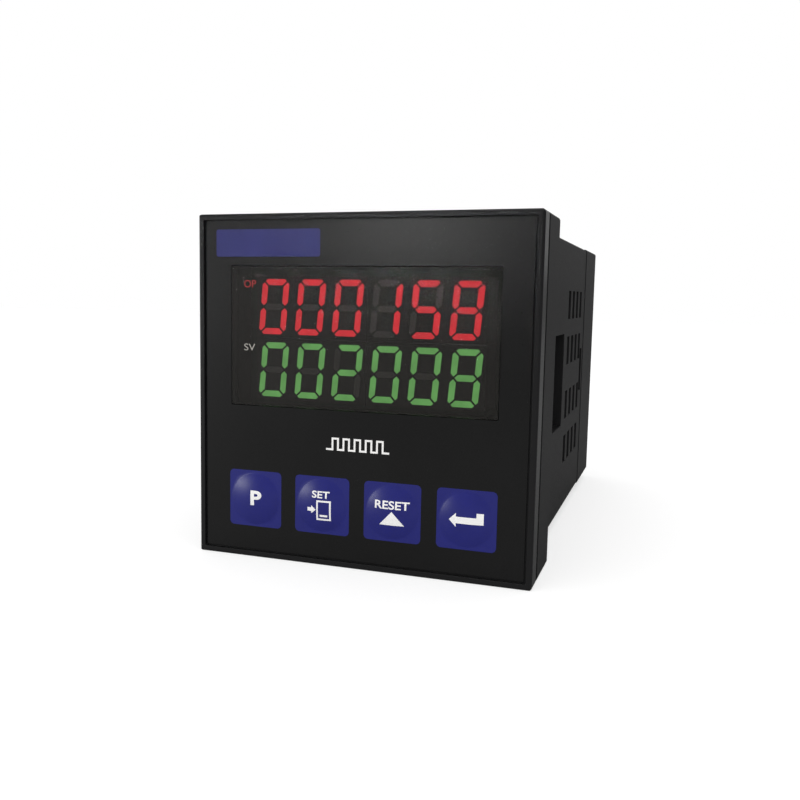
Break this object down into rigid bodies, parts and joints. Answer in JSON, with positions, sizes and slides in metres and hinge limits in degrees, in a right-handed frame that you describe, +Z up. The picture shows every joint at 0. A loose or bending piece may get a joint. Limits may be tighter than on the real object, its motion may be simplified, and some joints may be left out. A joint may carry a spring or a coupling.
{
  "type": "panel counter",
  "caption": "Square-fronted counter for a panel cut-out, with stacked rows of LED digits over round membrane keys, a vented tube with clamp pockets and screw terminals behind.",
  "frame": {"origin": "centre of the plane where the gasket meets the panel", "axes": "+X to the right as seen from the front, +Y into the panel, +Z up"},
  "size_m": [0.048, 0.0799, 0.048],
  "materials": {
    "housing": "moulded black plastic with a fine spark texture",
    "overlay_film": "fine textured polyester film, printed black from behind",
    "key_film": "fine textured polyester film, printed blue from behind",
    "smoked_filter": "smoked clear plastic, smooth",
    "gasket": "soft black rubber",
    "switch_stem": "moulded black plastic",
    "switch_body": "moulded dark grey plastic",
    "display_block": "moulded plastic with a dark grey printed face",
    "segment_red": "milky cast resin, lit red",
    "segment_green": "milky cast resin, lit green",
    "segment_dark": "milky cast resin, unlit",
    "circuit_board": "glass fibre board with green solder mask",
    "connector": "moulded black plastic",
    "contact_brass": "milled brass",
    "screw_steel": "zinc plated steel",
    "ferrite": "ground ferrite",
    "coil_tape": "yellow polyester tape",
    "capacitor_sleeve": "shrunk dark sleeve",
    "component_black": "moulded black epoxy",
    "varistor_coat": "dipped blue epoxy",
    "relay_case": "moulded dark blue plastic",
    "component_white": "moulded off-white epoxy",
    "crystal_can": "drawn nickel plated can"
  },
  "bodies": {
    "unit": {"front_frame": "housing", "case": "housing", "rear_cover": "housing", "front_overlay": "overlay_film", "display_filter": "smoked_filter", "panel_gasket": "gasket", "program_switch": "switch_body", "set_switch": "switch_body", "reset_switch": "switch_body", "enter_switch": "switch_body", "upper_display_left": "display_block", "upper_display_right": "display_block", "lower_display_left": "display_block", "lower_display_right": "display_block", "upper_segments_lit": "segment_red", "lower_segments_lit": "segment_green", "upper_segments_dark": "segment_dark", "lower_segments_dark": "segment_dark", "display_board": "circuit_board", "power_board": "circuit_board", "logic_board": "circuit_board", "power_header": "connector", "logic_header": "connector", "terminal_strip_left": "connector", "terminal_strip_right": "connector", "terminal_contacts_left": "contact_brass", "terminal_contacts_right": "contact_brass", "terminal_screws_left": "screw_steel", "terminal_screws_right": "screw_steel", "transformer_core": "ferrite", "transformer_coil": "coil_tape", "input_capacitor": "capacitor_sleeve", "output_capacitor": "capacitor_sleeve", "rectifier": "component_black", "controller_chip": "component_black", "varistor": "varistor_coat", "output_relay_upper": "relay_case", "output_relay_lower": "relay_case", "optocouplers": "component_white", "crystal": "crystal_can"},
    "program_button": {"program_key": "key_film", "program_stem": "switch_stem"},
    "set_button": {"set_key": "key_film", "set_stem": "switch_stem"},
    "reset_button": {"reset_key": "key_film", "reset_stem": "switch_stem"},
    "enter_button": {"enter_key": "key_film", "enter_stem": "switch_stem"}
  },
  "joints": [
    {"name": "program_press", "type": "slide", "parent": "unit", "child": "program_button", "axis": [0, 1, 0], "range_m": [0, 0.0005], "stiffness_N_per_m": 3000},
    {"name": "set_press", "type": "slide", "parent": "unit", "child": "set_button", "axis": [0, 1, 0], "range_m": [0, 0.0005], "stiffness_N_per_m": 3000},
    {"name": "reset_press", "type": "slide", "parent": "unit", "child": "reset_button", "axis": [0, 1, 0], "range_m": [0, 0.0005], "stiffness_N_per_m": 3000},
    {"name": "enter_press", "type": "slide", "parent": "unit", "child": "enter_button", "axis": [0, 1, 0], "range_m": [0, 0.0005], "stiffness_N_per_m": 3000}
  ]
}
